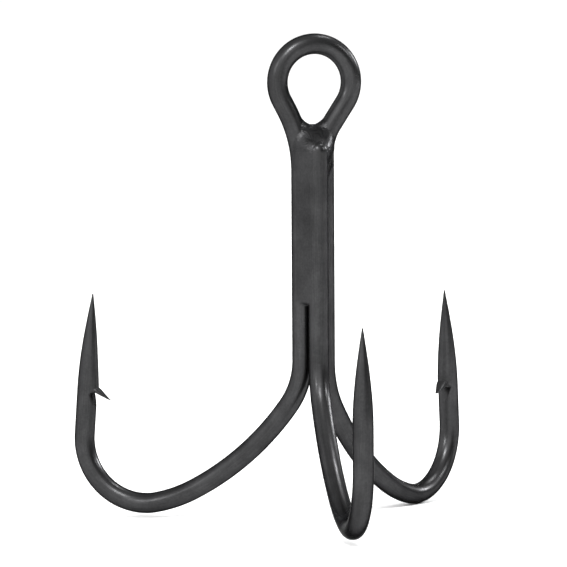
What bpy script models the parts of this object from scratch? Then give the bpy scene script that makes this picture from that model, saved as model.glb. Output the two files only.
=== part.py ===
"""Treble fishing hook, in metres, +Z up.

One wire is bent into the eye and the two side hooks. A second wire makes the front hook, and is
brazed into the groove in front of the first. The origin is the centre of the eye, which lies in the
XZ plane, and the shank hangs down from it. Each hook lies in an upright plane through its own wire.
"""
from collections import namedtuple
from math import cos, pi, radians, sin, tan

import bmesh
import bpy
from mathutils import Matrix, Vector

MM = 0.001

# Wire
WIRE_RADIUS = 0.85 * MM
WIRE_SIDES = 16
CLOSED_RADIUS = 1e-6 * MM
BRAZE_CLEARANCE = 0.04 * MM
ROOM_SCALE = 1 + BRAZE_CLEARANCE / WIRE_RADIUS

# Eye: a round bow, two straight legs and the two bends that bring the legs into the shank
EYE_RADIUS = 3.135 * MM
LEFT_LEG_ANGLE = 28.1
RIGHT_LEG_ANGLE = 33.4
LEFT_NECK_RADIUS = 10.7 * MM
RIGHT_NECK_RADIUS = 4.1 * MM
EYE_ARC_STEP = 10.0
NECK_STEPS = 5

# Shank: the two wires of the double hook side by side, the single one in front
SHANK_X = -0.175 * MM
WIRE_OFFSET = 0.955 * MM
FRONT_WIRE_Y = -1.55 * MM
FRONT_WIRE_TOP = -4.75 * MM
FRONT_DOME_STEPS = 4

# Hook bend, from the shank to the lowest point and round: radius and angle of each arc
FLARE = (6.45 * MM, 35.9)
LEG = (24.0 * MM, 26.4)
HEEL = (12.5 * MM, 15.7)
BOTTOM_RADIUS = 5.24 * MM
BEND_ARC_STEP = 7.0

# Point: the wire tapers over POINT_LENGTH to a needle tip
POINT_LENGTH = 8.05 * MM
POINT_RINGS = 9
POINT_CROWDING = 1.3
SPEAR_RINGS = 2

# Barb: a tongue cut from the inner side of the point and lifted
BARB_ROOT_HEIGHT = 0.52 * MM
BARB_ROOT_WIDTH = 0.92 * MM
BARB_EMBED = 0.35 * MM
BARB_EMBED_NARROWING = 0.6
BARB_UNDERSIDE_DEPTH = 0.14 * MM
BARB_TIP_WIDTH = 0.22 * MM
BARB_TIP_HEIGHT = 0.05 * MM
BARB_TIP_SETBACK = 0.02 * MM
BARB_CUT_DEPTH = 0.20 * MM
BARB_CUT_TOP = 0.44 * MM
BARB_CUT_LENGTH = 1.50 * MM
BARB_CUT_RUNOUT = 0.04 * MM

# Braze: how far each run fills its groove, and where it stops
SIDE_RUN_TOP = -5.3 * MM
LEFT_RUN_BOTTOM = -18.3 * MM
RIGHT_RUN_BOTTOM = -22.0 * MM
REAR_RUN_TOP = -7.0 * MM
REAR_RUN_BOTTOM = -22.4 * MM
FLUSH_FILL = 0.95
SHALLOW_FILL = 0.65
GROOVE_DIP = 0.08 * MM
CORE_HALF_WIDTH = 0.2 * MM
SIDE_RUN_CORE = 0.22 * MM
REAR_RUN_CORE = -0.75 * MM
NECK_SECTION_SPACING = 0.6 * MM
RUN_FEATHER = 0.7 * MM
FEATHER_END = 0.28 * MM
FEATHER_FILLS = (0.72, 0.90)
THROAT_TOP = -3.5 * MM
THROAT_HALF_THICKNESS = 0.6 * MM
THROAT_RADIUS = 0.95 * MM
THROAT_ROUND_SIDES = 24
THROAT_FRONT = (
    (-2.6 * MM, 0.45 * MM),
    (-3.6 * MM, 0.50 * MM),
    (-4.3 * MM, 0.60 * MM),
    (-4.8 * MM, 1.00 * MM),
    (-5.1 * MM, 1.50 * MM),
    (-5.2 * MM, 0.50 * MM),
    (-6.0 * MM, 0.50 * MM),
    (-6.9 * MM, 0.50 * MM),
)

# Plating: linear colour and roughness, and the angle above which an edge stays sharp
WIRE_COLOUR = (0.058, 0.058, 0.062)
WIRE_ROUGHNESS = 0.42
BRAZE_COLOUR = (0.052, 0.052, 0.055)
BRAZE_ROUGHNESS = 0.48
SHARP_ANGLE = 35.0

# The hooks: plan position of the wire, direction outwards, foot of the shank, straight length of
# the point and its lean; then the barb's distance from the tip, its reach and its drop
Hook = namedtuple("Hook", (
    "wire_xy", "azimuth", "foot_height", "spear_length", "lean",
    "barb_from_tip", "barb_reach", "barb_drop",
))

LEFT = Hook(
    Vector((SHANK_X - WIRE_OFFSET, 0)), 145.9, -22.8 * MM, 11.75 * MM, 4.0,
    7.98 * MM, 1.27 * MM, 0.75 * MM)
RIGHT = Hook(
    Vector((SHANK_X + WIRE_OFFSET, 0)), 39.9, -23.05 * MM, 11.30 * MM, 3.6,
    7.82 * MM, 1.00 * MM, 0.75 * MM)
FRONT = Hook(
    Vector((SHANK_X, FRONT_WIRE_Y)), -96.0, -22.7 * MM, 11.25 * MM, 0.5,
    7.90 * MM, 1.15 * MM, 0.75 * MM)
SHANK_AXIS = Vector((SHANK_X, FRONT_WIRE_Y / 3))


def clear_scene():
    for scene_object in list(bpy.data.objects):
        bpy.data.objects.remove(scene_object, do_unlink=True)


def plated_material(name, colour, roughness):
    material = bpy.data.materials.new(name)
    material.use_nodes = True
    shader = material.node_tree.nodes["Principled BSDF"]
    shader.inputs["Base Color"].default_value = (*colour, 1)
    shader.inputs["Roughness"].default_value = roughness
    shader.inputs["Metallic"].default_value = 1.0
    return material


def add_object(name, bm, material=None):
    """Turn a bmesh into an object; one without a material is a guide and stays out of the part."""
    bmesh.ops.recalc_face_normals(bm, faces=bm.faces)
    mesh = bpy.data.meshes.new(name)
    bm.to_mesh(mesh)
    bm.free()
    made = bpy.data.objects.new(name, mesh)
    bpy.context.scene.collection.objects.link(made)
    if material is None:
        made.hide_render = True
        made.display_type = "WIRE"
    else:
        mesh.materials.append(material)
        mesh.shade_smooth()
        mesh.set_sharp_from_angle(angle=radians(SHARP_ANGLE))
    return made


def combine(target, tool, operation):
    modifier = target.modifiers.new(tool.name, "BOOLEAN")
    modifier.operation = operation
    modifier.solver = "EXACT"
    modifier.object = tool


def arc_points(start, heading, radius, angle, step):
    """Points after start on an arc in a hook's plane; headings turn outwards from straight down."""
    steps = max(2, round(angle / step))
    centre = start + radius * Vector((cos(radians(heading)), sin(radians(heading))))
    headings = [radians(heading + angle * i / steps) for i in range(1, steps + 1)]
    return [centre - radius * Vector((cos(a), sin(a))) for a in headings]


def hook_outline(hook):
    """Centreline (outwards, up) from the foot of the shank to the tip."""
    points = [Vector((0, hook.foot_height))]
    heading = 0.0
    for radius, angle in (FLARE, LEG, HEEL, (BOTTOM_RADIUS, 180 + hook.lean)):
        turn = angle - heading if angle > 180 else angle
        points += arc_points(points[-1], heading, radius, turn, BEND_ARC_STEP)
        heading += turn
    spear = Vector((sin(radians(heading)), -cos(radians(heading))))
    shoulder = points[-1]
    plain = hook.spear_length - POINT_LENGTH
    points += [shoulder + spear * plain * i / SPEAR_RINGS for i in range(1, SPEAR_RINGS + 1)]
    taper = [1 - (1 - i / POINT_RINGS) ** POINT_CROWDING for i in range(1, POINT_RINGS + 1)]
    return points + [points[-1] + spear * POINT_LENGTH * t for t in taper]


def in_plane(hook, outline):
    """Place an outline of (outwards, up) in the hook's own upright plane."""
    outwards = Vector((cos(radians(hook.azimuth)), sin(radians(hook.azimuth)), 0))
    foot = hook.wire_xy.to_3d()
    return [foot + outwards * u + Vector((0, 0, z)) for u, z in outline]


def hook_centreline(hook):
    return in_plane(hook, hook_outline(hook))


def neck_points(side, leg_angle, neck_radius, wire_x):
    """Half of the eye, from beside the bow's top down to the straight shank."""
    angle = radians(leg_angle)
    steps = round((90 + leg_angle) / EYE_ARC_STEP)
    sweep = [pi / 2 - (pi / 2 + angle) * i / steps for i in range(1, steps + 1)]
    points = [Vector((side * EYE_RADIUS * cos(a), 0, EYE_RADIUS * sin(a))) for a in sweep]
    down = Vector((-side * sin(angle), 0, -cos(angle)))
    to_shank = side * (points[-1].x - wire_x) / sin(angle)
    bend_start = points[-1] + down * (to_shank - neck_radius * tan(angle / 2))
    centre = Vector((wire_x + side * neck_radius, 0, bend_start.z - neck_radius * sin(angle)))
    for i in range(NECK_STEPS + 1):
        a = angle * (1 - i / NECK_STEPS)
        points.append(centre + neck_radius * Vector((-side * cos(a), 0, sin(a))))
    return points


def necks():
    """The two halves of the eye: left and right."""
    left = neck_points(-1, LEFT_LEG_ANGLE, LEFT_NECK_RADIUS, LEFT.wire_xy.x)
    right = neck_points(1, RIGHT_LEG_ANGLE, RIGHT_NECK_RADIUS, RIGHT.wire_xy.x)
    return left, right


def double_centreline():
    """From the left hook's tip, up the shank, round the eye and down to the right hook's tip."""
    left, right = necks()
    top = [Vector((0, 0, EYE_RADIUS))]
    return hook_centreline(LEFT)[::-1] + left[::-1] + top + right + hook_centreline(RIGHT)


def single_centreline():
    """From the rounded upper end of the front wire down to the front hook's tip."""
    dome_base = FRONT_WIRE_TOP - WIRE_RADIUS
    angles = [pi / 2 * (1 - i / FRONT_DOME_STEPS) for i in range(FRONT_DOME_STEPS + 1)]
    dome = [FRONT.wire_xy.to_3d() + Vector((0, 0, dome_base + WIRE_RADIUS * sin(a))) for a in angles]
    return dome + hook_centreline(FRONT)


def lengths_along(path):
    lengths = [0.0]
    for before, after in zip(path, path[1:]):
        lengths.append(lengths[-1] + (after - before).length)
    return lengths


def pointed_radius(to_tip):
    """Wire radius at a distance from a needle tip, which closes at zero."""
    return WIRE_RADIUS * sin(pi / 2 * min(1, to_tip / POINT_LENGTH))


def double_radii(path):
    lengths = lengths_along(path)
    return [pointed_radius(min(length, lengths[-1] - length)) for length in lengths]


def single_radii(path):
    lengths = lengths_along(path)
    dome = [cos(pi / 2 * (1 - i / FRONT_DOME_STEPS)) for i in range(FRONT_DOME_STEPS + 1)]
    shape = dome + [1.0] * (len(path) - len(dome))
    return [share * pointed_radius(lengths[-1] - length) for share, length in zip(shape, lengths)]


def sweep_wire(path, radii):
    """A closed round wire along the path; a ring of zero radius closes to one vertex."""
    bm = bmesh.new()
    tangent = (path[1] - path[0]).normalized()
    normal = tangent.orthogonal().normalized()
    rings = []
    for i, point in enumerate(path):
        ahead = path[min(i + 1, len(path) - 1)] - path[max(i - 1, 0)]
        turned = ahead.normalized()
        normal = tangent.rotation_difference(turned) @ normal
        normal = (normal - turned * normal.dot(turned)).normalized()
        tangent = turned
        if radii[i] < CLOSED_RADIUS:
            rings.append([bm.verts.new(point)])
            continue
        side = tangent.cross(normal)
        angles = [2 * pi * k / WIRE_SIDES for k in range(WIRE_SIDES)]
        rings.append([bm.verts.new(point + radii[i] * (normal * cos(a) + side * sin(a))) for a in angles])
    for first, second in zip(rings, rings[1:]):
        join_rings(bm, first, second)
    return bm


def join_rings(bm, first, second):
    count = max(len(first), len(second))
    for k in range(count):
        after = (k + 1) % count
        corners = [first[k % len(first)], first[after % len(first)]]
        corners += [second[after % len(second)], second[k % len(second)]]
        bm.faces.new(list(dict.fromkeys(corners)))


def loft(sections):
    """A closed solid through equal-sized rings of points, capped at both ends."""
    bm = bmesh.new()
    rings = [[bm.verts.new(point) for point in section] for section in sections]
    for first, second in zip(rings, rings[1:]):
        join_rings(bm, first, second)
    bm.faces.new(rings[0])
    bm.faces.new(rings[-1][::-1])
    bmesh.ops.triangulate(bm, faces=bm.faces)
    return bm


def barb_frame(hook):
    """Barb station on the wire's axis, with the directions inwards, to the tip and across."""
    centreline = hook_centreline(hook)
    to_tip = (centreline[-1] - centreline[-2]).normalized()
    station = centreline[-1] - to_tip * hook.barb_from_tip
    outwards = Vector((cos(radians(hook.azimuth)), sin(radians(hook.azimuth)), 0))
    inwards = -(outwards - to_tip * outwards.dot(to_tip)).normalized()
    return station, inwards, to_tip, inwards.cross(to_tip)


def across_wire(hook, profile):
    """A convex solid across the wire: its corners are (inwards from the skin, to the tip, width)."""
    station, inwards, to_tip, across = barb_frame(hook)
    bm = bmesh.new()
    for depth, along, width in profile:
        corner = station + inwards * (WIRE_RADIUS + depth) + to_tip * along
        bm.verts.new(corner + across * width / 2)
        bm.verts.new(corner - across * width / 2)
    bmesh.ops.convex_hull(bm, input=bm.verts)
    return bm


def add_barb(wire, hook, label):
    cut_width = 2 * WIRE_RADIUS
    reach = hook.barb_reach
    cut = across_wire(hook, (
        (-BARB_CUT_DEPTH, -BARB_CUT_TOP, cut_width),
        (BARB_CUT_RUNOUT, -BARB_CUT_LENGTH, cut_width),
        (reach, -BARB_CUT_LENGTH, cut_width),
        (reach, -BARB_CUT_TOP, cut_width),
    ))
    tongue = across_wire(hook, (
        (-BARB_EMBED, BARB_EMBED, BARB_ROOT_WIDTH * BARB_EMBED_NARROWING),
        (0.0, 0.0, BARB_ROOT_WIDTH),
        (reach, BARB_TIP_HEIGHT - hook.barb_drop, BARB_TIP_WIDTH),
        (reach - BARB_TIP_SETBACK, -hook.barb_drop, BARB_TIP_WIDTH),
        (-BARB_UNDERSIDE_DEPTH, -BARB_ROOT_HEIGHT, BARB_ROOT_WIDTH),
    ))
    combine(wire, add_object(label + "_barb_cut", cut), "DIFFERENCE")
    combine(wire, add_object(label + "_barb_tongue", tongue), "UNION")


def wire_at(height, neck):
    """Plan position of one double-hook wire at a height in the shank or the neck."""
    if height <= neck[-1].z:
        return neck[-1].to_2d()
    for above, below in zip(neck, neck[1:]):
        if below.z <= height <= above.z:
            part = (height - below.z) / (above.z - below.z)
            return below.lerp(above, part).to_2d()
    return neck[0].to_2d()


def run_heights(top, bottom):
    """Section heights of a run: close together in the neck, and a feathered lower end."""
    neck_foot = min(neck[-1].z for neck in necks())
    heights = [top]
    while heights[-1] - NECK_SECTION_SPACING > neck_foot:
        heights.append(heights[-1] - NECK_SECTION_SPACING)
    return heights + [bottom + RUN_FEATHER, bottom + FEATHER_END, bottom]


def groove_section(first, second, height, fill, core):
    """Filler between two wires, from inside the gap out to the given share of the wire radius."""
    along = (second - first).normalized()
    outwards = Vector((-along.y, along.x))
    if outwards.dot(first - SHANK_AXIS) < 0:
        outwards.negate()
    middle = (first + second) / 2
    lip = WIRE_RADIUS * fill
    flat = [
        first + outwards * lip,
        middle + outwards * (lip - GROOVE_DIP),
        second + outwards * lip,
        middle + along * CORE_HALF_WIDTH + outwards * core,
        middle - along * CORE_HALF_WIDTH + outwards * core,
    ]
    return [Vector((p.x, p.y, height)) for p in flat]


def feathered(fill, from_end):
    """Fill of a section counted from the lower end: the last ones sink into the groove."""
    return fill * (FEATHER_FILLS[from_end] if from_end < len(FEATHER_FILLS) else 1.0)


def side_run(neck, bottom, fill):
    """Filler between one wire of the double hook and the front wire."""
    heights = run_heights(SIDE_RUN_TOP, bottom)
    sections = []
    for index, height in enumerate(heights):
        share = feathered(fill, len(heights) - 1 - index)
        wire = wire_at(height, neck)
        sections.append(groove_section(wire, FRONT.wire_xy, height, share, SIDE_RUN_CORE))
    return loft(sections)


def rear_run():
    """Filler between the two wires of the double hook, with the core between all three."""
    heights = run_heights(REAR_RUN_TOP, REAR_RUN_BOTTOM)
    sections = []
    for index, height in enumerate(heights):
        left, right = (wire_at(height, neck) for neck in necks())
        share = feathered(SHALLOW_FILL, len(heights) - 1 - index)
        sections.append(groove_section(left, right, height, share, REAR_RUN_CORE))
    return loft(sections)


def throat_web():
    """Web in the crotch of the eye; its front slopes out over the front wire's upper end."""
    sections = []
    back = THROAT_HALF_THICKNESS
    for height, front in THROAT_FRONT:
        left, right = (wire_at(height, neck) for neck in necks())
        middle = (left + right) / 2
        sections.append([
            Vector((left.x, back, height)),
            Vector((left.x, -front, height)),
            Vector((middle.x, -front, height)),
            Vector((right.x, -front, height)),
            Vector((right.x, back, height)),
        ])
    return loft(sections)


def throat_round():
    """Round bar that leaves the concave bottom of the eye's opening."""
    place = Matrix.Translation((0, 0, THROAT_TOP + THROAT_RADIUS)) @ Matrix.Rotation(pi / 2, 4, "X")
    bm = bmesh.new()
    bmesh.ops.create_cone(bm, cap_ends=True, segments=THROAT_ROUND_SIDES, radius1=THROAT_RADIUS,
                          radius2=THROAT_RADIUS, depth=4 * WIRE_RADIUS, matrix=place)
    return bm


def build():
    clear_scene()
    wire_material = plated_material("plated_wire", WIRE_COLOUR, WIRE_ROUGHNESS)
    braze_material = plated_material("plated_braze", BRAZE_COLOUR, BRAZE_ROUGHNESS)

    double_path = double_centreline()
    radii = double_radii(double_path)
    double = add_object("double_hook", sweep_wire(double_path, radii), wire_material)
    add_barb(double, LEFT, "left")
    add_barb(double, RIGHT, "right")
    roomy = [radius * ROOM_SCALE for radius in radii]
    double_room = add_object("double_room", sweep_wire(double_path, roomy))

    single_path = single_centreline()
    radii = single_radii(single_path)
    single = add_object("single_hook", sweep_wire(single_path, radii), wire_material)
    add_barb(single, FRONT, "front")
    roomy = [radius * ROOM_SCALE for radius in radii]
    single_room = add_object("single_room", sweep_wire(single_path, roomy))

    left, right = necks()
    runs = {
        "left_braze": side_run(left, LEFT_RUN_BOTTOM, FLUSH_FILL),
        "right_braze": side_run(right, RIGHT_RUN_BOTTOM, SHALLOW_FILL),
        "rear_braze": rear_run(),
        "throat_braze": throat_web(),
    }
    brazes = {}
    for name, solid in runs.items():
        brazes[name] = add_object(name, solid, braze_material)
        combine(brazes[name], double_room, "DIFFERENCE")
        combine(brazes[name], single_room, "DIFFERENCE")
    combine(brazes["throat_braze"], add_object("throat_round", throat_round()), "DIFFERENCE")


build()
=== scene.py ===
"""Looks of a brazed treble hook in black nickel: drawn wire, cut barbs and brazed grooves."""

from collections import namedtuple
from math import ceil, cos, pi, radians, sin, tan

import bmesh
import bpy
from mathutils import Matrix, Vector


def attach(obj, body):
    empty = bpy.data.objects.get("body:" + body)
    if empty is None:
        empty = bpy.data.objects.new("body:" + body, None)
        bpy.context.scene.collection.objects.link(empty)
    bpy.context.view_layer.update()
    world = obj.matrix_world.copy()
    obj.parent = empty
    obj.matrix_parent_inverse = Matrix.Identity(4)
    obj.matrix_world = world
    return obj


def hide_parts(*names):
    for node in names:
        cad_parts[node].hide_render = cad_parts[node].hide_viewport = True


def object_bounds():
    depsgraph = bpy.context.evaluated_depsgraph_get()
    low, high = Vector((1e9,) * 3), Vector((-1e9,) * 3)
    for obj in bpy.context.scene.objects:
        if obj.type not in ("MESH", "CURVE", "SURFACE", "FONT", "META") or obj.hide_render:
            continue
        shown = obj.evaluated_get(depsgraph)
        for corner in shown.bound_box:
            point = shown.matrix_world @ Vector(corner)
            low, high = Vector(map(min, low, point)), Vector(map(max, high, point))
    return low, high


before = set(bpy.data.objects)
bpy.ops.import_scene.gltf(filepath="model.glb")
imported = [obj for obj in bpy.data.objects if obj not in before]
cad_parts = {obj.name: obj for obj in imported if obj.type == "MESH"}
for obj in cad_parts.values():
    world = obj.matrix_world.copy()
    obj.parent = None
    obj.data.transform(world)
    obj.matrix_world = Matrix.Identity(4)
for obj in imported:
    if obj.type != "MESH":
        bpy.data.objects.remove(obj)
cad_box = [[float(v) for v in corner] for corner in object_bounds()]

MM = 0.001

# Drawn wire; CAP_RADIUS is the smallest ring that closes its domed top
WIRE_RADIUS = 0.848 * MM
WIRE_SIDES = 44
RING_SPACING = 0.16 * MM
CAP_RADIUS = 0.012 * MM

# Eye and neck: each leg leaves the bow at its own angle and meets the shank by its own arc
EYE_RADIUS = 3.135 * MM
LEFT_LEG_ANGLE = 28.1
RIGHT_LEG_ANGLE = 33.4
LEFT_NECK_RADIUS = 10.7 * MM
RIGHT_NECK_RADIUS = 4.1 * MM

# Shank
SHANK_X = -0.175 * MM
WIRE_OFFSET = 0.955 * MM
FRONT_WIRE_Y = -1.55 * MM
FRONT_WIRE_TOP = -4.75 * MM
SHANK_AXIS = Vector((SHANK_X, FRONT_WIRE_Y / 3, 0))

# Bend, from the shank outwards: radius and angle of each arc
FLARE = (6.45 * MM, 35.9)
LEG = (24.0 * MM, 26.4)
HEEL = (12.5 * MM, 15.7)
BOTTOM_RADIUS = 5.24 * MM

# Point and barb
POINT_LENGTH = 8.05 * MM
TIP_BLUNTING = 0.30 * MM
BARB_CUT_DEPTH = 0.42 * MM
BARB_CUT_START = -1.50 * MM
BARB_CUT_END = -0.22 * MM
BARB_SWELL = 0.17 * MM
BARB_SWELL_LENGTH = 3.0 * MM
BARB_SWELL_FADE = 1.5
BARB_SWELL_ROUNDING = 2
BARB_KNIFE_REACH = 2 * WIRE_RADIUS

# Braze, in millimetres, because its field is worked out at that scale.
# A higher power makes a fillet hollower; each pair of heights is where one fillet turns into the next.
FILLET_POWER = 1.65
SHOULDER_POWER = 1.40
GROOVE_FILLET_MM = 1.10
SHALLOW_FILLET_MM = 0.62
REAR_FILLET_MM = 0.85
THROAT_FILLET_MM = 1.93
SHOULDER_FILLET_MM = 1.42
NECK_FILL_MM = (-5.8, -3.5)
SHOULDER_FILL_MM = (-8.5, -4.9)
BRAZE_VOXEL_MM = 0.055
BRAZE_SINK_MM = 0.006
FIELD_LEVEL = 0.5
FIELD_MARGIN_MM = 0.2
THROAT_TOP_MM = -2.2
THROAT_SPLIT_MM = -5.6
LEFT_RUN_END_MM = -18.3
RIGHT_RUN_END_MM = -22.2
REAR_RUN_END_MM = -22.4
RUN_FEATHER_MM = 0.45
RUN_END_FILL = 0.6
RUN_OVERLAP_MM = 0.08
JOINED_FEATHER_MM = 0.01

# Room round the shank's axis for each run, and for the throat, which spreads up the eye's legs
RUN_ROOM_MM = ((-2.0, -2.1), (2.0, 1.5))
THROAT_ROOM_MM = ((-2.6, -2.1), (2.9, 1.5))

# Sectors of the grooves round the shank's axis, in degrees from +X
LEFT_SECTOR = (151.0, 270.0)
RIGHT_SECTOR = (270.0, 389.0)
REAR_SECTOR = (29.0, 151.0)

Hook = namedtuple("Hook", (
    "wire_xy", "azimuth", "foot_height", "spear_length", "lean",
    "barb_from_tip", "barb_reach", "barb_drop",
))

LEFT = Hook(
    Vector((SHANK_X - WIRE_OFFSET, 0)), 145.9, -22.8 * MM, 11.75 * MM, 4.0,
    7.98 * MM, 1.27 * MM, 0.75 * MM)
RIGHT = Hook(
    Vector((SHANK_X + WIRE_OFFSET, 0)), 39.9, -23.05 * MM, 11.30 * MM, 3.6,
    7.82 * MM, 1.00 * MM, 0.75 * MM)
FRONT = Hook(
    Vector((SHANK_X, FRONT_WIRE_Y)), -96.0, -22.7 * MM, 11.25 * MM, 0.5,
    7.90 * MM, 1.15 * MM, 0.75 * MM)


# ---------------------------------------------------------------- centrelines of the wires

def spread(start, end):
    """Evenly spaced points after start, up to end."""
    count = max(1, ceil((end - start).length / RING_SPACING))
    return [start.lerp(end, i / count) for i in range(1, count + 1)]


def bend_arc(start, heading, radius, angle):
    """Points after start on an arc of a hook's plane; headings turn outwards from straight down."""
    count = ceil(radians(angle) * radius / RING_SPACING)
    centre = start + radius * Vector((cos(radians(heading)), sin(radians(heading))))
    turned = [radians(heading + angle * i / count) for i in range(1, count + 1)]
    return [centre - radius * Vector((cos(a), sin(a))) for a in turned]


def hook_centreline(hook):
    """From the foot of the shank, round the bend, to the needle tip."""
    outline = [Vector((0, hook.foot_height))]
    heading = 0.0
    for radius, angle in (FLARE, LEG, HEEL, (BOTTOM_RADIUS, None)):
        turn = 180 + hook.lean - heading if angle is None else angle
        outline += bend_arc(outline[-1], heading, radius, turn)
        heading += turn
    spear = Vector((sin(radians(heading)), -cos(radians(heading))))
    outline += spread(outline[-1], outline[-1] + spear * hook.spear_length)
    outwards = Vector((cos(radians(hook.azimuth)), sin(radians(hook.azimuth)), 0))
    foot = hook.wire_xy.to_3d()
    return [foot + outwards * u + Vector((0, 0, z)) for u, z in outline]


def eye_side(side, leg_angle, neck_radius, wire_x):
    """Half of the eye, from beside the top of the bow down to the straight shank."""
    angle = radians(leg_angle)
    count = ceil((pi / 2 + angle) * EYE_RADIUS / RING_SPACING)
    sweep = [pi / 2 - (pi / 2 + angle) * i / count for i in range(1, count + 1)]
    points = [Vector((side * EYE_RADIUS * cos(a), 0, EYE_RADIUS * sin(a))) for a in sweep]
    down = Vector((-side * sin(angle), 0, -cos(angle)))
    to_shank = side * (points[-1].x - wire_x) / sin(angle)
    points += spread(points[-1], points[-1] + down * (to_shank - neck_radius * tan(angle / 2)))
    centre = Vector((wire_x + side * neck_radius, 0, points[-1].z - neck_radius * sin(angle)))
    count = ceil(angle * neck_radius / RING_SPACING)
    for i in range(1, count + 1):
        a = angle * (1 - i / count)
        points.append(centre + neck_radius * Vector((-side * cos(a), 0, sin(a))))
    return points


def double_centreline():
    """From the left hook's tip, up the shank, over the eye and down to the right hook's tip."""
    left = eye_side(-1, LEFT_LEG_ANGLE, LEFT_NECK_RADIUS, LEFT.wire_xy.x)
    right = eye_side(1, RIGHT_LEG_ANGLE, RIGHT_NECK_RADIUS, RIGHT.wire_xy.x)
    left_hook = hook_centreline(LEFT)
    right_hook = hook_centreline(RIGHT)
    left_shank = spread(left[-1], left_hook[0])
    right_shank = spread(right[-1], right_hook[0])
    left_half = left + left_shank + left_hook[1:]
    right_half = right + right_shank + right_hook[1:]
    return left_half[::-1] + [Vector((0, 0, EYE_RADIUS))] + right_half


def single_centreline():
    """From the top of the front wire's dome down to its hook's tip."""
    dome_base = FRONT.wire_xy.to_3d() + Vector((0, 0, FRONT_WIRE_TOP - WIRE_RADIUS))
    top = dome_base + Vector((0, 0, WIRE_RADIUS))
    hook = hook_centreline(FRONT)
    return [top] + spread(top, dome_base) + spread(dome_base, hook[0]) + hook[1:]


def lengths_along(path):
    total = [0.0]
    for before, after in zip(path, path[1:]):
        total.append(total[-1] + (after - before).length)
    return total


def pointed_radius(to_tip):
    """Radius at a distance from the needle tip, easing into the full wire."""
    part = min(1.0, (to_tip + TIP_BLUNTING) / (POINT_LENGTH + TIP_BLUNTING))
    return WIRE_RADIUS * sin(pi / 2 * part)


def domed_radius(from_top):
    """Radius at a distance below the front wire's rounded top."""
    if from_top >= WIRE_RADIUS:
        return WIRE_RADIUS
    height = WIRE_RADIUS - from_top
    return max(CAP_RADIUS, (WIRE_RADIUS ** 2 - height ** 2) ** 0.5)


# ---------------------------------------------------------------- geometry node helpers

class Tree:
    """A short way to write a geometry node tree."""

    def __init__(self, name, inputs):
        self.group = bpy.data.node_groups.new(name, "GeometryNodeTree")
        self.identifiers = {}
        for label, kind in inputs:
            socket = self.group.interface.new_socket(label, in_out="INPUT", socket_type=kind)
            self.identifiers[label] = socket.identifier
        self.group.interface.new_socket("Geometry", in_out="OUTPUT", socket_type="NodeSocketGeometry")
        self.entry = self.group.nodes.new("NodeGroupInput")

    def given(self, label):
        return self.entry.outputs[label]

    def add(self, kind, settings=None, **inputs):
        node = self.group.nodes.new(kind)
        for key, value in (settings or {}).items():
            setattr(node, key, value)
        for key, value in inputs.items():
            place = int(key[1:]) if key[0] == "_" else key.replace("_", " ")
            self.feed(node.inputs[place], value)
        return node

    def feed(self, socket, value):
        if isinstance(value, bpy.types.NodeSocket):
            self.group.links.new(value, socket)
        else:
            socket.default_value = value

    def math(self, operation, first, second=0.0, third=0.0):
        node = self.add("ShaderNodeMath", {"operation": operation}, _0=first, _1=second, _2=third)
        return node.outputs[0]

    def finish(self, geometry):
        end = self.group.nodes.new("NodeGroupOutput")
        self.group.links.new(geometry, end.inputs[0])


def bake(holder, tree, values):
    """Run a tree on an object and return the result as a plain mesh object of the same name."""
    name = holder.name
    modifier = holder.modifiers.new(tree.group.name, "NODES")
    modifier.node_group = tree.group
    for label, value in values.items():
        modifier[tree.identifiers[label]] = value
    depsgraph = bpy.context.evaluated_depsgraph_get()
    mesh = bpy.data.meshes.new_from_object(holder.evaluated_get(depsgraph))
    holder.modifiers.remove(modifier)
    bpy.data.objects.remove(holder, do_unlink=True)
    made = bpy.data.objects.new(name, mesh)
    mesh.name = name
    bpy.context.scene.collection.objects.link(made)
    return made


def path_object(name, paths, attributes):
    """Mesh of open polylines; attributes are (name, values) in step with the points."""
    points = [point for path in paths for point in path]
    edges = []
    start = 0
    for path in paths:
        edges += [(start + i, start + i + 1) for i in range(len(path) - 1)]
        start += len(path)
    mesh = bpy.data.meshes.new(name)
    mesh.from_pydata(points, edges, [])
    for label, values in attributes:
        mesh.attributes.new(label, "FLOAT", "POINT").data.foreach_set("value", values)
    made = bpy.data.objects.new(name, mesh)
    bpy.context.scene.collection.objects.link(made)
    return made


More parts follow.
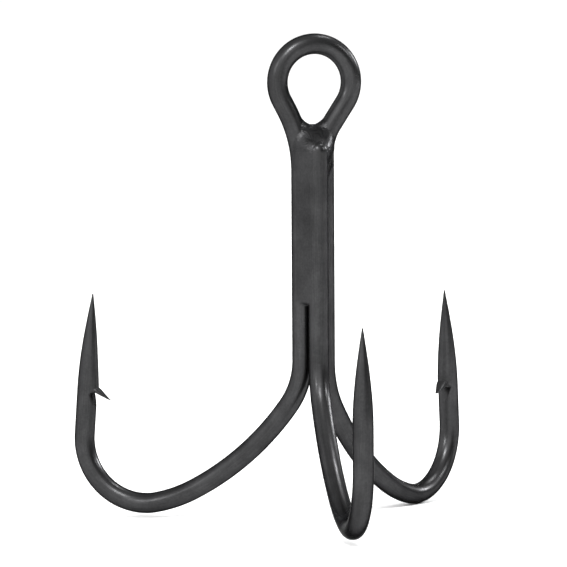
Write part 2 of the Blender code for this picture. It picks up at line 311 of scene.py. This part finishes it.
def wire_tree():
    """Sweep a round section along a path, and keep each spot's place round and along the wire."""
    tree = Tree("drawn_wire", (
        ("Path", "NodeSocketGeometry"),
        ("Sides", "NodeSocketInt"),
        ("Finish", "NodeSocketMaterial"),
    ))
    radius = tree.add("GeometryNodeInputNamedAttribute", {"data_type": "FLOAT"}, Name="wire_radius")
    along = tree.add("GeometryNodeInputNamedAttribute", {"data_type": "FLOAT"}, Name="wire_along")
    line = tree.add("GeometryNodeMeshToCurve", Mesh=tree.given("Path"))
    circle = tree.add("GeometryNodeCurvePrimitiveCircle", {"mode": "RADIUS"},
                      Resolution=tree.given("Sides"), Radius=1.0)
    place = tree.add("GeometryNodeInputPosition")
    on_points = {"data_type": "FLOAT_VECTOR", "domain": "POINT"}
    marked = tree.add("GeometryNodeStoreNamedAttribute", on_points,
                      Geometry=circle.outputs[0], Name="round_place", Value=place.outputs[0])
    swept = tree.add("GeometryNodeCurveToMesh", Curve=line.outputs[0], Profile_Curve=marked.outputs[0],
                     Scale=radius.outputs[0], Fill_Caps=True)
    turned = tree.add("GeometryNodeInputNamedAttribute", {"data_type": "FLOAT_VECTOR"},
                      Name="round_place")
    parts = tree.add("ShaderNodeSeparateXYZ", Vector=turned.outputs[0])
    skin = tree.add("ShaderNodeCombineXYZ", X=parts.outputs[0], Y=parts.outputs[1], Z=along.outputs[0])
    kept = tree.add("GeometryNodeStoreNamedAttribute", on_points,
                    Geometry=swept.outputs[0], Name="skin", Value=skin.outputs[0])
    smooth = tree.add("GeometryNodeSetShadeSmooth", Geometry=kept.outputs[0])
    real = tree.add("GeometryNodeRealizeInstances", Geometry=smooth.outputs[0])
    coated = tree.add("GeometryNodeSetMaterial", Geometry=real.outputs[0], Material=tree.given("Finish"))
    tree.finish(coated.outputs[0])
    return tree


def braze_tree():
    """Filler metal that wets three wires: a soft union of them, cut to one run's sector and ends.

    Everything inside is in millimetres, and the result is brought back to metres.
    The field is FIELD_LEVEL less each spot's height above the filler's skin."""
    tree = Tree("braze_run", (
        ("Wires", "NodeSocketGeometry"),
        ("Wire Radius", "NodeSocketFloat"),
        ("Groove Fillet", "NodeSocketFloat"),
        ("Rear Fillet", "NodeSocketFloat"),
        ("Throat Fillet", "NodeSocketFloat"),
        ("Shoulder Fillet", "NodeSocketFloat"),
        ("Top", "NodeSocketFloat"),
        ("Bottom", "NodeSocketFloat"),
        ("Feather", "NodeSocketFloat"),
        ("Sink", "NodeSocketFloat"),
        ("Voxel", "NodeSocketFloat"),
        ("Low Corner", "NodeSocketVector"),
        ("High Corner", "NodeSocketVector"),
        ("Sector Centre", "NodeSocketVector"),
        ("Sector Side A", "NodeSocketVector"),
        ("Sector Side B", "NodeSocketVector"),
        ("Finish", "NodeSocketMaterial"),
    ))
    place = tree.add("GeometryNodeInputPosition").outputs[0]
    height = tree.add("ShaderNodeSeparateXYZ", Vector=place).outputs[2]
    number = tree.add("GeometryNodeInputNamedAttribute", {"data_type": "FLOAT"}, Name="wire_number")

    def gap_to(wire):
        chosen = tree.add("FunctionNodeCompare", {"data_type": "FLOAT", "operation": "EQUAL"},
                          A=number.outputs[0], B=float(wire), Epsilon=0.1)
        single = tree.add("GeometryNodeSeparateGeometry", {"domain": "POINT"},
                          Geometry=tree.given("Wires"), Selection=chosen.outputs[0])
        near = tree.add("GeometryNodeProximity", {"target_element": "EDGES"}, _0=single.outputs[0])
        return tree.math("SUBTRACT", near.outputs["Distance"], tree.given("Wire Radius"))

    def ramp(value, low, high, low_out, high_out):
        node = tree.add("ShaderNodeMapRange", {"interpolation_type": "SMOOTHSTEP"}, _0=value, _1=low,
                        _2=high, _3=low_out, _4=high_out)
        return node.outputs[0]

    def filleted(first, second, radius, power):
        """Two surfaces, given by the gap to each, joined by a fillet of the given radius."""
        inside_first = tree.math("MAXIMUM", tree.math("SUBTRACT", radius, first), 0.0)
        inside_second = tree.math("MAXIMUM", tree.math("SUBTRACT", radius, second), 0.0)
        powers = tree.math("ADD", tree.math("POWER", inside_first, power),
                           tree.math("POWER", inside_second, power))
        outer = tree.math("MAXIMUM", radius, tree.math("MINIMUM", first, second))
        return tree.math("SUBTRACT", outer, tree.math("POWER", powers, tree.math("DIVIDE", 1.0, power)))

    left, right, front = gap_to(0), gap_to(1), gap_to(2)
    feather_top = tree.math("ADD", tree.given("Bottom"), tree.given("Feather"))
    filled = ramp(height, tree.given("Bottom"), feather_top, RUN_END_FILL, 1.0)
    rear = ramp(height, NECK_FILL_MM[0], NECK_FILL_MM[1], tree.given("Rear Fillet"),
                tree.given("Throat Fillet"))
    groove = ramp(height, SHOULDER_FILL_MM[0], SHOULDER_FILL_MM[1], tree.given("Groove Fillet"),
                  tree.given("Shoulder Fillet"))
    pair = filleted(left, right, tree.math("MULTIPLY", rear, filled), FILLET_POWER)
    power = ramp(height, SHOULDER_FILL_MM[0], SHOULDER_FILL_MM[1], FILLET_POWER, SHOULDER_POWER)
    skin = filleted(pair, front, tree.math("MULTIPLY", groove, filled), power)
    skin = tree.math("ADD", skin, tree.given("Sink"))
    shape = tree.math("MAXIMUM", skin, tree.math("SUBTRACT", height, tree.given("Top")))
    shape = tree.math("MAXIMUM", shape, tree.math("SUBTRACT", tree.given("Bottom"), height))
    offset = tree.add("ShaderNodeVectorMath", {"operation": "SUBTRACT"}, _0=place,
                      _1=tree.given("Sector Centre")).outputs[0]
    for side in ("Sector Side A", "Sector Side B"):
        beyond = tree.add("ShaderNodeVectorMath", {"operation": "DOT_PRODUCT"}, _0=offset,
                          _1=tree.given(side)).outputs["Value"]
        shape = tree.math("MAXIMUM", shape, beyond)
    density = tree.math("SUBTRACT", FIELD_LEVEL, shape)

    low, high = tree.given("Low Corner"), tree.given("High Corner")
    span = tree.add("ShaderNodeVectorMath", {"operation": "SUBTRACT"}, _0=high, _1=low).outputs[0]
    spans = tree.add("ShaderNodeSeparateXYZ", Vector=span).outputs
    counts = [tree.math("CEIL", tree.math("DIVIDE", spans[k], tree.given("Voxel"))) for k in range(3)]
    cloud = tree.add("GeometryNodeVolumeCube", Density=density, Background=0.0, Min=low, Max=high,
                     Resolution_X=counts[0], Resolution_Y=counts[1], Resolution_Z=counts[2])
    surface = tree.add("GeometryNodeVolumeToMesh", {"resolution_mode": "GRID"},
                       Volume=cloud.outputs[0], Threshold=FIELD_LEVEL, Adaptivity=0.0)
    scaled = tree.add("GeometryNodeTransform", Geometry=surface.outputs[0], Scale=(MM, MM, MM))
    smooth = tree.add("GeometryNodeSetShadeSmooth", Geometry=scaled.outputs[0])
    real = tree.add("GeometryNodeRealizeInstances", Geometry=smooth.outputs[0])
    coated = tree.add("GeometryNodeSetMaterial", Geometry=real.outputs[0], Material=tree.given("Finish"))
    tree.finish(coated.outputs[0])
    return tree


# ---------------------------------------------------------------- barbs

def barb_frame(hook):
    """Station of a barb on its wire's axis, with the directions inwards, to the tip and across."""
    centreline = hook_centreline(hook)
    to_tip = (centreline[-1] - centreline[-2]).normalized()
    station = centreline[-1] - to_tip * hook.barb_from_tip
    outwards = Vector((cos(radians(hook.azimuth)), sin(radians(hook.azimuth)), 0))
    inwards = -(outwards - to_tip * outwards.dot(to_tip)).normalized()
    return station, inwards, to_tip, inwards.cross(to_tip)


def knife_cut(bm, hook):
    """Plane the wire flat where the barb's tongue was lifted, and swell it just above the root."""
    station, inwards, to_tip, _ = barb_frame(hook)
    for vertex in bm.verts:
        offset = vertex.co - station
        depth = offset.dot(inwards)
        along = offset.dot(to_tip)
        if (offset - to_tip * along).length > BARB_KNIFE_REACH or depth < 0:
            continue
        if BARB_CUT_START < along < BARB_CUT_END:
            part = (along - BARB_CUT_START) / (BARB_CUT_END - BARB_CUT_START)
            limit = WIRE_RADIUS - BARB_CUT_DEPTH * part
            if depth > limit:
                vertex.co += inwards * (limit - depth)
        elif BARB_CUT_END <= along < BARB_SWELL_LENGTH:
            part = (along - BARB_CUT_END) / (BARB_SWELL_LENGTH - BARB_CUT_END)
            rounding = (depth / WIRE_RADIUS) ** BARB_SWELL_ROUNDING
            swell = BARB_SWELL * (1 - part) ** BARB_SWELL_FADE * rounding
            vertex.co += inwards * swell


TONGUE = (
    # share of the reach, share of the drop, width and thickness in wire radii
    (-0.30, 0.62, 0.90, 0.40),
    (-0.10, 0.06, 1.30, 0.62),
    (0.14, -0.18, 1.22, 0.56),
    (0.37, -0.41, 1.00, 0.42),
    (0.60, -0.64, 0.74, 0.27),
    (0.83, -0.86, 0.48, 0.14),
    (1.00, -1.00, 0.28, 0.05),
)
TONGUE_ARC = 9
TONGUE_CROWN = 0.55
TONGUE_BELLY = 0.45
TONGUE_BELLY_WIDTH = 0.96


def barb_tongue(bm, hook, skin_layer):
    """The lifted tongue: a sliver of the wire's round skin, thick at the root and sharp at its end."""
    station, inwards, to_tip, across = barb_frame(hook)
    root = station + inwards * WIRE_RADIUS
    reach, drop = inwards * hook.barb_reach, to_tip * hook.barb_drop
    centres = [root + reach * out + drop * up for out, up, _, _ in TONGUE]
    rings = []
    for index, (_, _, width, thickness) in enumerate(TONGUE):
        ahead = centres[min(index + 1, len(centres) - 1)] - centres[max(index - 1, 0)]
        outer = across.cross(ahead).normalized()
        if outer.dot(inwards + to_tip) < 0:
            outer.negate()
        half = width * WIRE_RADIUS / 2
        ring = []
        for k in range(TONGUE_ARC):
            a = pi * k / (TONGUE_ARC - 1)
            crown = sin(a) * thickness * WIRE_RADIUS * TONGUE_CROWN
            ring.append(centres[index] + across * half * cos(a) + outer * crown)
        for k in range(1, TONGUE_ARC - 1):
            a = pi * (1 - k / (TONGUE_ARC - 1))
            belly = -sin(a) * thickness * WIRE_RADIUS * TONGUE_BELLY
            edge = across * half * cos(a) * TONGUE_BELLY_WIDTH
            ring.append(centres[index] + edge + outer * belly)
        rings.append([bm.verts.new(point) for point in ring])
        for vertex in rings[-1]:
            vertex[skin_layer] = (vertex.co - station) / WIRE_RADIUS
    faces = []
    for first, second in zip(rings, rings[1:]):
        for k in range(len(first)):
            after = (k + 1) % len(first)
            faces.append(bm.faces.new((first[k], first[after], second[after], second[k])))
    faces.append(bm.faces.new(rings[0][::-1]))
    faces.append(bm.faces.new(rings[-1]))
    bmesh.ops.recalc_face_normals(bm, faces=faces)
    for face in faces:
        face.smooth = True


def cut_barbs(wire, hooks):
    """Cut and lift the barb of each hook that the wire ends in."""
    bm = bmesh.new()
    bm.from_mesh(wire.data)
    skin_layer = bm.verts.layers.float_vector["skin"]
    for hook in hooks:
        knife_cut(bm, hook)
        barb_tongue(bm, hook, skin_layer)
    bm.to_mesh(wire.data)
    bm.free()


# ---------------------------------------------------------------- finish

WIRE_COLOUR = (0.040, 0.040, 0.041)
WIRE_ROUGHNESS = 0.33
BRAZE_COLOUR = (0.037, 0.037, 0.038)
BRAZE_ROUGHNESS = 0.35
# Grey tint of the reflection at grazing angles: painted shade that darkens the metal's edges, standing
# in for dark surroundings at the sides
PAINTED_EDGE_SHADE_TINT = (0.30, 0.30, 0.30, 1)
RELIEF_DEPTH = 0.006 * MM

# Noise scales per metre; draw marks run per wire radius across, and per stretched metre along
MOTTLE_SCALE = 420.0
GRAIN_SCALE = 5200.0
RIPPLE_SCALE = 1500.0
DRAW_MARK_SCALE = 9.0
DRAW_MARK_STRETCH = (1.0, 1.0, 45.0)
DRAW_MARK_RELIEF = 1.6
RIPPLE_RELIEF = 2.2


class Finish:
    """A short way to write a material's nodes."""

    def __init__(self, name):
        self.material = bpy.data.materials.new(name)
        self.material.use_nodes = True
        self.nodes = self.material.node_tree.nodes
        self.links = self.material.node_tree.links
        self.shader = self.nodes["Principled BSDF"]

    def add(self, kind, settings=None, **inputs):
        node = self.nodes.new(kind)
        for key, value in (settings or {}).items():
            setattr(node, key, value)
        for key, value in inputs.items():
            place = int(key[1:]) if key[0] == "_" else key.replace("_", " ")
            socket = node.inputs[place]
            if isinstance(value, bpy.types.NodeSocket):
                self.links.new(value, socket)
            else:
                socket.default_value = value
        return node

    def noise(self, vector, scale, detail, stretch=(1, 1, 1)):
        placed = self.add("ShaderNodeMapping", Vector=vector, Scale=stretch)
        texture = self.add("ShaderNodeTexNoise", Vector=placed.outputs[0], Scale=scale, Detail=detail)
        return texture.outputs[0]

    def ramp(self, value, low, high, low_out, high_out):
        node = self.add("ShaderNodeMapRange", _0=value, _1=low, _2=high, _3=low_out, _4=high_out)
        return node.outputs[0]


def nickel_finish(name, colour, roughness, drawn):
    """Black nickel plate: mottled grey, slightly uneven gloss, draw marks along bare wire, and painted
    shade on the grazing edges.
    """
    finish = Finish(name)
    place = finish.add("ShaderNodeTexCoord").outputs["Object"]
    cloud = finish.noise(place, MOTTLE_SCALE, 4.0)
    grain = finish.noise(place, GRAIN_SCALE, 3.0)
    shade = finish.ramp(cloud, 0.35, 0.65, 0.82, 1.16)
    speck = finish.ramp(grain, 0.30, 0.70, 0.90, 1.10)
    tone = finish.add("ShaderNodeMath", {"operation": "MULTIPLY"}, _0=shade, _1=speck).outputs[0]
    if drawn:
        skin = finish.add("ShaderNodeAttribute", {"attribute_name": "skin"}).outputs["Vector"]
        marks = finish.noise(skin, DRAW_MARK_SCALE, 5.0, DRAW_MARK_STRETCH)
        streak = finish.ramp(marks, 0.35, 0.65, 0.90, 1.10)
        tone = finish.add("ShaderNodeMath", {"operation": "MULTIPLY"}, _0=tone, _1=streak).outputs[0]
        relief = finish.add("ShaderNodeMath", {"operation": "MULTIPLY_ADD"}, _0=marks,
                            _1=DRAW_MARK_RELIEF, _2=grain).outputs[0]
    else:
        ripple = finish.noise(place, RIPPLE_SCALE, 4.0)
        relief = finish.add("ShaderNodeMath", {"operation": "MULTIPLY_ADD"}, _0=ripple,
                            _1=RIPPLE_RELIEF, _2=grain).outputs[0]
    tint = finish.add("ShaderNodeVectorMath", {"operation": "SCALE"}, _0=colour, Scale=tone).outputs[0]
    gloss = finish.add("ShaderNodeMath", {"operation": "MULTIPLY"},
                       _0=finish.ramp(cloud, 0.3, 0.7, roughness * 1.12, roughness * 0.88),
                       _1=finish.ramp(grain, 0.3, 0.7, 1.08, 0.92)).outputs[0]
    bump = finish.add("ShaderNodeBump", Strength=0.5, Distance=RELIEF_DEPTH, Height=relief)
    shader = finish.shader
    finish.links.new(tint, shader.inputs["Base Color"])
    finish.links.new(gloss, shader.inputs["Roughness"])
    finish.links.new(bump.outputs[0], shader.inputs["Normal"])
    shader.inputs["Metallic"].default_value = 1.0
    # Edge tint dims the grazing reflection: painted shade along the edges of wire and braze
    shader.inputs["Specular Tint"].default_value = PAINTED_EDGE_SHADE_TINT
    return finish.material


# ---------------------------------------------------------------- pieces

def drawn_wire(name, path, radii, tree, finish):
    """A wire swept along its path, with a radius for each point."""
    holder = path_object(name, [path], (("wire_radius", radii), ("wire_along", lengths_along(path))))
    return bake(holder, tree, {"Sides": WIRE_SIDES, "Finish": finish})


def braze_run(name, tree, finish, top, bottom, room, sides, groove, feather, overlap_below):
    """One run of filler; room bounds it in plan, and sides are its sector's outward normals."""
    neck_left = eye_side(-1, LEFT_LEG_ANGLE, LEFT_NECK_RADIUS, LEFT.wire_xy.x)
    neck_right = eye_side(1, RIGHT_LEG_ANGLE, RIGHT_NECK_RADIUS, RIGHT.wire_xy.x)
    front_top = FRONT.wire_xy.to_3d() + Vector((0, 0, FRONT_WIRE_TOP - WIRE_RADIUS))
    lines = [
        [point / MM for point in neck_left + [hook_centreline(LEFT)[0]]],
        [point / MM for point in neck_right + [hook_centreline(RIGHT)[0]]],
        [front_top / MM, hook_centreline(FRONT)[0] / MM],
    ]
    numbers = [float(k) for k, line in enumerate(lines) for _ in line]
    holder = path_object(name, lines, (("wire_number", numbers),))
    axis = SHANK_AXIS / MM
    return bake(holder, tree, {
        "Wire Radius": WIRE_RADIUS / MM,
        "Groove Fillet": groove,
        "Rear Fillet": REAR_FILLET_MM,
        "Throat Fillet": THROAT_FILLET_MM,
        "Shoulder Fillet": SHOULDER_FILLET_MM,
        "Top": top + RUN_OVERLAP_MM,
        "Bottom": bottom - overlap_below,
        "Feather": feather,
        "Sink": BRAZE_SINK_MM,
        "Voxel": BRAZE_VOXEL_MM,
        "Low Corner": (axis.x + room[0][0], axis.y + room[0][1], bottom - FIELD_MARGIN_MM),
        "High Corner": (axis.x + room[1][0], axis.y + room[1][1], top + FIELD_MARGIN_MM),
        "Sector Centre": tuple(axis),
        "Sector Side A": sides[0],
        "Sector Side B": sides[1],
        "Finish": finish,
    })


def plan_direction(angle):
    """Level direction at an angle from +X."""
    return (cos(radians(angle)), sin(radians(angle)), 0.0)


def make_wires(finish):
    """The double hook and the single hook, each with its barbs."""
    sweep = wire_tree()
    path = double_centreline()
    along = lengths_along(path)
    radii = [pointed_radius(min(s, along[-1] - s)) for s in along]
    double = drawn_wire("double_hook_wire", path, radii, sweep, finish)
    cut_barbs(double, (LEFT, RIGHT))

    path = single_centreline()
    along = lengths_along(path)
    radii = [min(domed_radius(s), pointed_radius(along[-1] - s)) for s in along]
    single = drawn_wire("single_hook_wire", path, radii, sweep, finish)
    cut_barbs(single, (FRONT,))
    return [(double, "double_hook", "plated_wire"), (single, "single_hook", "plated_wire")]


def make_braze(finish):
    """The filler in the three grooves, and the saddle of it in the eye's throat."""
    filler = braze_tree()
    runs = {
        "left_groove_braze": ("left_braze", LEFT_RUN_END_MM, GROOVE_FILLET_MM, LEFT_SECTOR),
        "right_groove_braze": ("right_braze", RIGHT_RUN_END_MM, SHALLOW_FILLET_MM, RIGHT_SECTOR),
        "rear_groove_braze": ("rear_braze", REAR_RUN_END_MM, GROOVE_FILLET_MM, REAR_SECTOR),
    }
    pieces = []
    for name, (node, end, groove, (start, stop)) in runs.items():
        sides = (plan_direction(start - 90), plan_direction(stop + 90))
        piece = braze_run(name, filler, finish, THROAT_SPLIT_MM, end, RUN_ROOM_MM, sides, groove,
                          RUN_FEATHER_MM, 0.0)
        pieces.append((piece, node, "plated_braze"))
    uncut = ((0.0, 0.0, 0.0), (0.0, 0.0, 0.0))
    throat = braze_run("eye_throat_braze", filler, finish, THROAT_TOP_MM, THROAT_SPLIT_MM,
                       THROAT_ROOM_MM, uncut, GROOVE_FILLET_MM, JOINED_FEATHER_MM, RUN_OVERLAP_MM)
    return pieces + [(throat, "throat_braze", "plated_braze")]


def make_hook():
    wire_finish = nickel_finish("black_nickel_wire", WIRE_COLOUR, WIRE_ROUGHNESS, True)
    braze_finish = nickel_finish("black_nickel_braze", BRAZE_COLOUR, BRAZE_ROUGHNESS, False)
    for piece, node, slot in make_wires(wire_finish) + make_braze(braze_finish):
        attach(piece, "root")
        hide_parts(node)


# ---------------------------------------------------------------- studio

VIEW_TURN = -16.1
VIEW_RISE = 4.76
VIEW_ROLL = 0.33
VIEW_DISTANCE = 491 * MM
VIEW_WIDTH = 46.44 * MM
VIEW_AIM = SHANK_AXIS + Vector((0, 0, -16.38 * MM))
VIEW_RIGHT_OF_AIM = -2.58 * MM
VIEW_ABOVE_AIM = -0.09 * MM
SENSOR_WIDTH = 36.0
CLIP_START = 0.01
CLIP_END = 50.0

FLOOR_RADIUS = 12.0
FLOOR_SIDES = 96
FLOOR_GAP = 0.02 * MM

# Each fade starts and ends at a cosine from its direction, and leaves the given share of the white
SCREEN_DIRECTION = (0.86, -0.50, 0.0)
CEILING_DIRECTION = (0.0, 0.0, 1.0)
SCREEN_FADE = (0.45, 0.80, 0.06)
CEILING_FADE = (0.40, 0.85, 0.50)
WHITE_STRENGTH = 1.80

LAMP_AIM = (0.0, 0.0, -0.018)
LAMPS = (
    # name, place, width and height in metres, power in watts
    ("key", (-0.24, -0.46, 0.52), 0.12, 0.12, 2.8),
    ("left", (-0.50, -0.27, 0.24), 0.05, 0.05, 0.6),
    ("side", (0.48, -0.23, 0.28), 0.08, 0.10, 0.8),
    ("right_rim", (0.55, 0.12, 0.21), 0.05, 0.08, 3.0),
    ("overhead", (0.26, 0.10, 0.51), 0.09, 0.09, 1.2),
)


def add_camera():
    turn, rise, roll = radians(VIEW_TURN), radians(VIEW_RISE), radians(VIEW_ROLL)
    back = Vector((sin(turn) * cos(rise), -cos(turn) * cos(rise), sin(rise)))
    right = Vector((cos(turn), sin(turn), 0))
    up = back.cross(right)
    place = VIEW_AIM + back * VIEW_DISTANCE + right * VIEW_RIGHT_OF_AIM + up * VIEW_ABOVE_AIM
    side = right * cos(roll) - up * sin(roll)
    top = right * sin(roll) + up * cos(roll)
    data = bpy.data.cameras.new("camera")
    data.sensor_width = SENSOR_WIDTH
    data.lens = SENSOR_WIDTH * VIEW_DISTANCE / VIEW_WIDTH
    data.clip_start = CLIP_START
    data.clip_end = CLIP_END
    camera = bpy.data.objects.new("camera", data)
    camera.matrix_world = Matrix.Translation(place) @ Matrix((side, top, back)).transposed().to_4x4()
    bpy.context.scene.collection.objects.link(camera)
    bpy.context.scene.camera = camera


def add_floor():
    lowest = cad_box[0][2]
    bm = bmesh.new()
    bmesh.ops.create_circle(bm, cap_ends=True, segments=FLOOR_SIDES, radius=FLOOR_RADIUS,
                            matrix=Matrix.Translation((0, 0, lowest - FLOOR_GAP)))
    mesh = bpy.data.meshes.new("floor")
    bm.to_mesh(mesh)
    bm.free()
    floor = bpy.data.objects.new("floor", mesh)
    bpy.context.scene.collection.objects.link(floor)
    finish = Finish("white_floor")
    place = finish.add("ShaderNodeTexCoord").outputs["Object"]
    grey = finish.ramp(finish.noise(place, 40.0, 3.0), 0.3, 0.7, 0.90, 0.92)
    tint = finish.add("ShaderNodeCombineXYZ", X=grey, Y=grey, Z=grey).outputs[0]
    finish.links.new(tint, finish.shader.inputs["Base Color"])
    finish.shader.inputs["Roughness"].default_value = 0.9
    finish.shader.inputs["Specular IOR Level"].default_value = 0.1
    mesh.materials.append(finish.material)


def add_soft_light(name, place, width, height, power):
    data = bpy.data.lights.new(name, "AREA")
    data.shape = "RECTANGLE"
    data.size = width
    data.size_y = height
    data.energy = power
    light = bpy.data.objects.new(name, data)
    light.location = place
    light.rotation_euler = (Vector(LAMP_AIM) - Vector(place)).to_track_quat("-Z", "Y").to_euler()
    bpy.context.scene.collection.objects.link(light)


def add_studio():
    """White surroundings under a dimmer ceiling, a grey screen on the right, and soft lamps."""
    world = bpy.data.worlds.new("studio")
    world.use_nodes = True
    nodes, links = world.node_tree.nodes, world.node_tree.links
    direction = nodes.new("ShaderNodeTexCoord").outputs["Generated"]

    def dimmer(towards, start, full, strength):
        """Strength falling smoothly from one at start to the given value at full."""
        facing = nodes.new("ShaderNodeVectorMath")
        facing.operation = "DOT_PRODUCT"
        facing.inputs[1].default_value = towards
        links.new(direction, facing.inputs[0])
        shade = nodes.new("ShaderNodeMapRange")
        shade.interpolation_type = "SMOOTHSTEP"
        shade.inputs["From Min"].default_value = start
        shade.inputs["From Max"].default_value = full
        shade.inputs["To Min"].default_value = 1.0
        shade.inputs["To Max"].default_value = strength
        links.new(facing.outputs["Value"], shade.inputs["Value"])
        return shade.outputs["Result"]

    screen = dimmer(SCREEN_DIRECTION, *SCREEN_FADE)
    ceiling = dimmer(CEILING_DIRECTION, *CEILING_FADE)
    both = nodes.new("ShaderNodeMath")
    both.operation = "MULTIPLY"
    links.new(screen, both.inputs[0])
    links.new(ceiling, both.inputs[1])
    strength = nodes.new("ShaderNodeMath")
    strength.operation = "MULTIPLY"
    strength.inputs[1].default_value = WHITE_STRENGTH
    links.new(both.outputs[0], strength.inputs[0])
    links.new(strength.outputs[0], nodes["Background"].inputs["Strength"])
    nodes["Background"].inputs["Color"].default_value = (1, 1, 1, 1)
    bpy.context.scene.world = world
    bpy.context.scene.view_settings.view_transform = "Standard"
    for lamp in LAMPS:
        add_soft_light(*lamp)


make_hook()
add_camera()
add_floor()
add_studio()
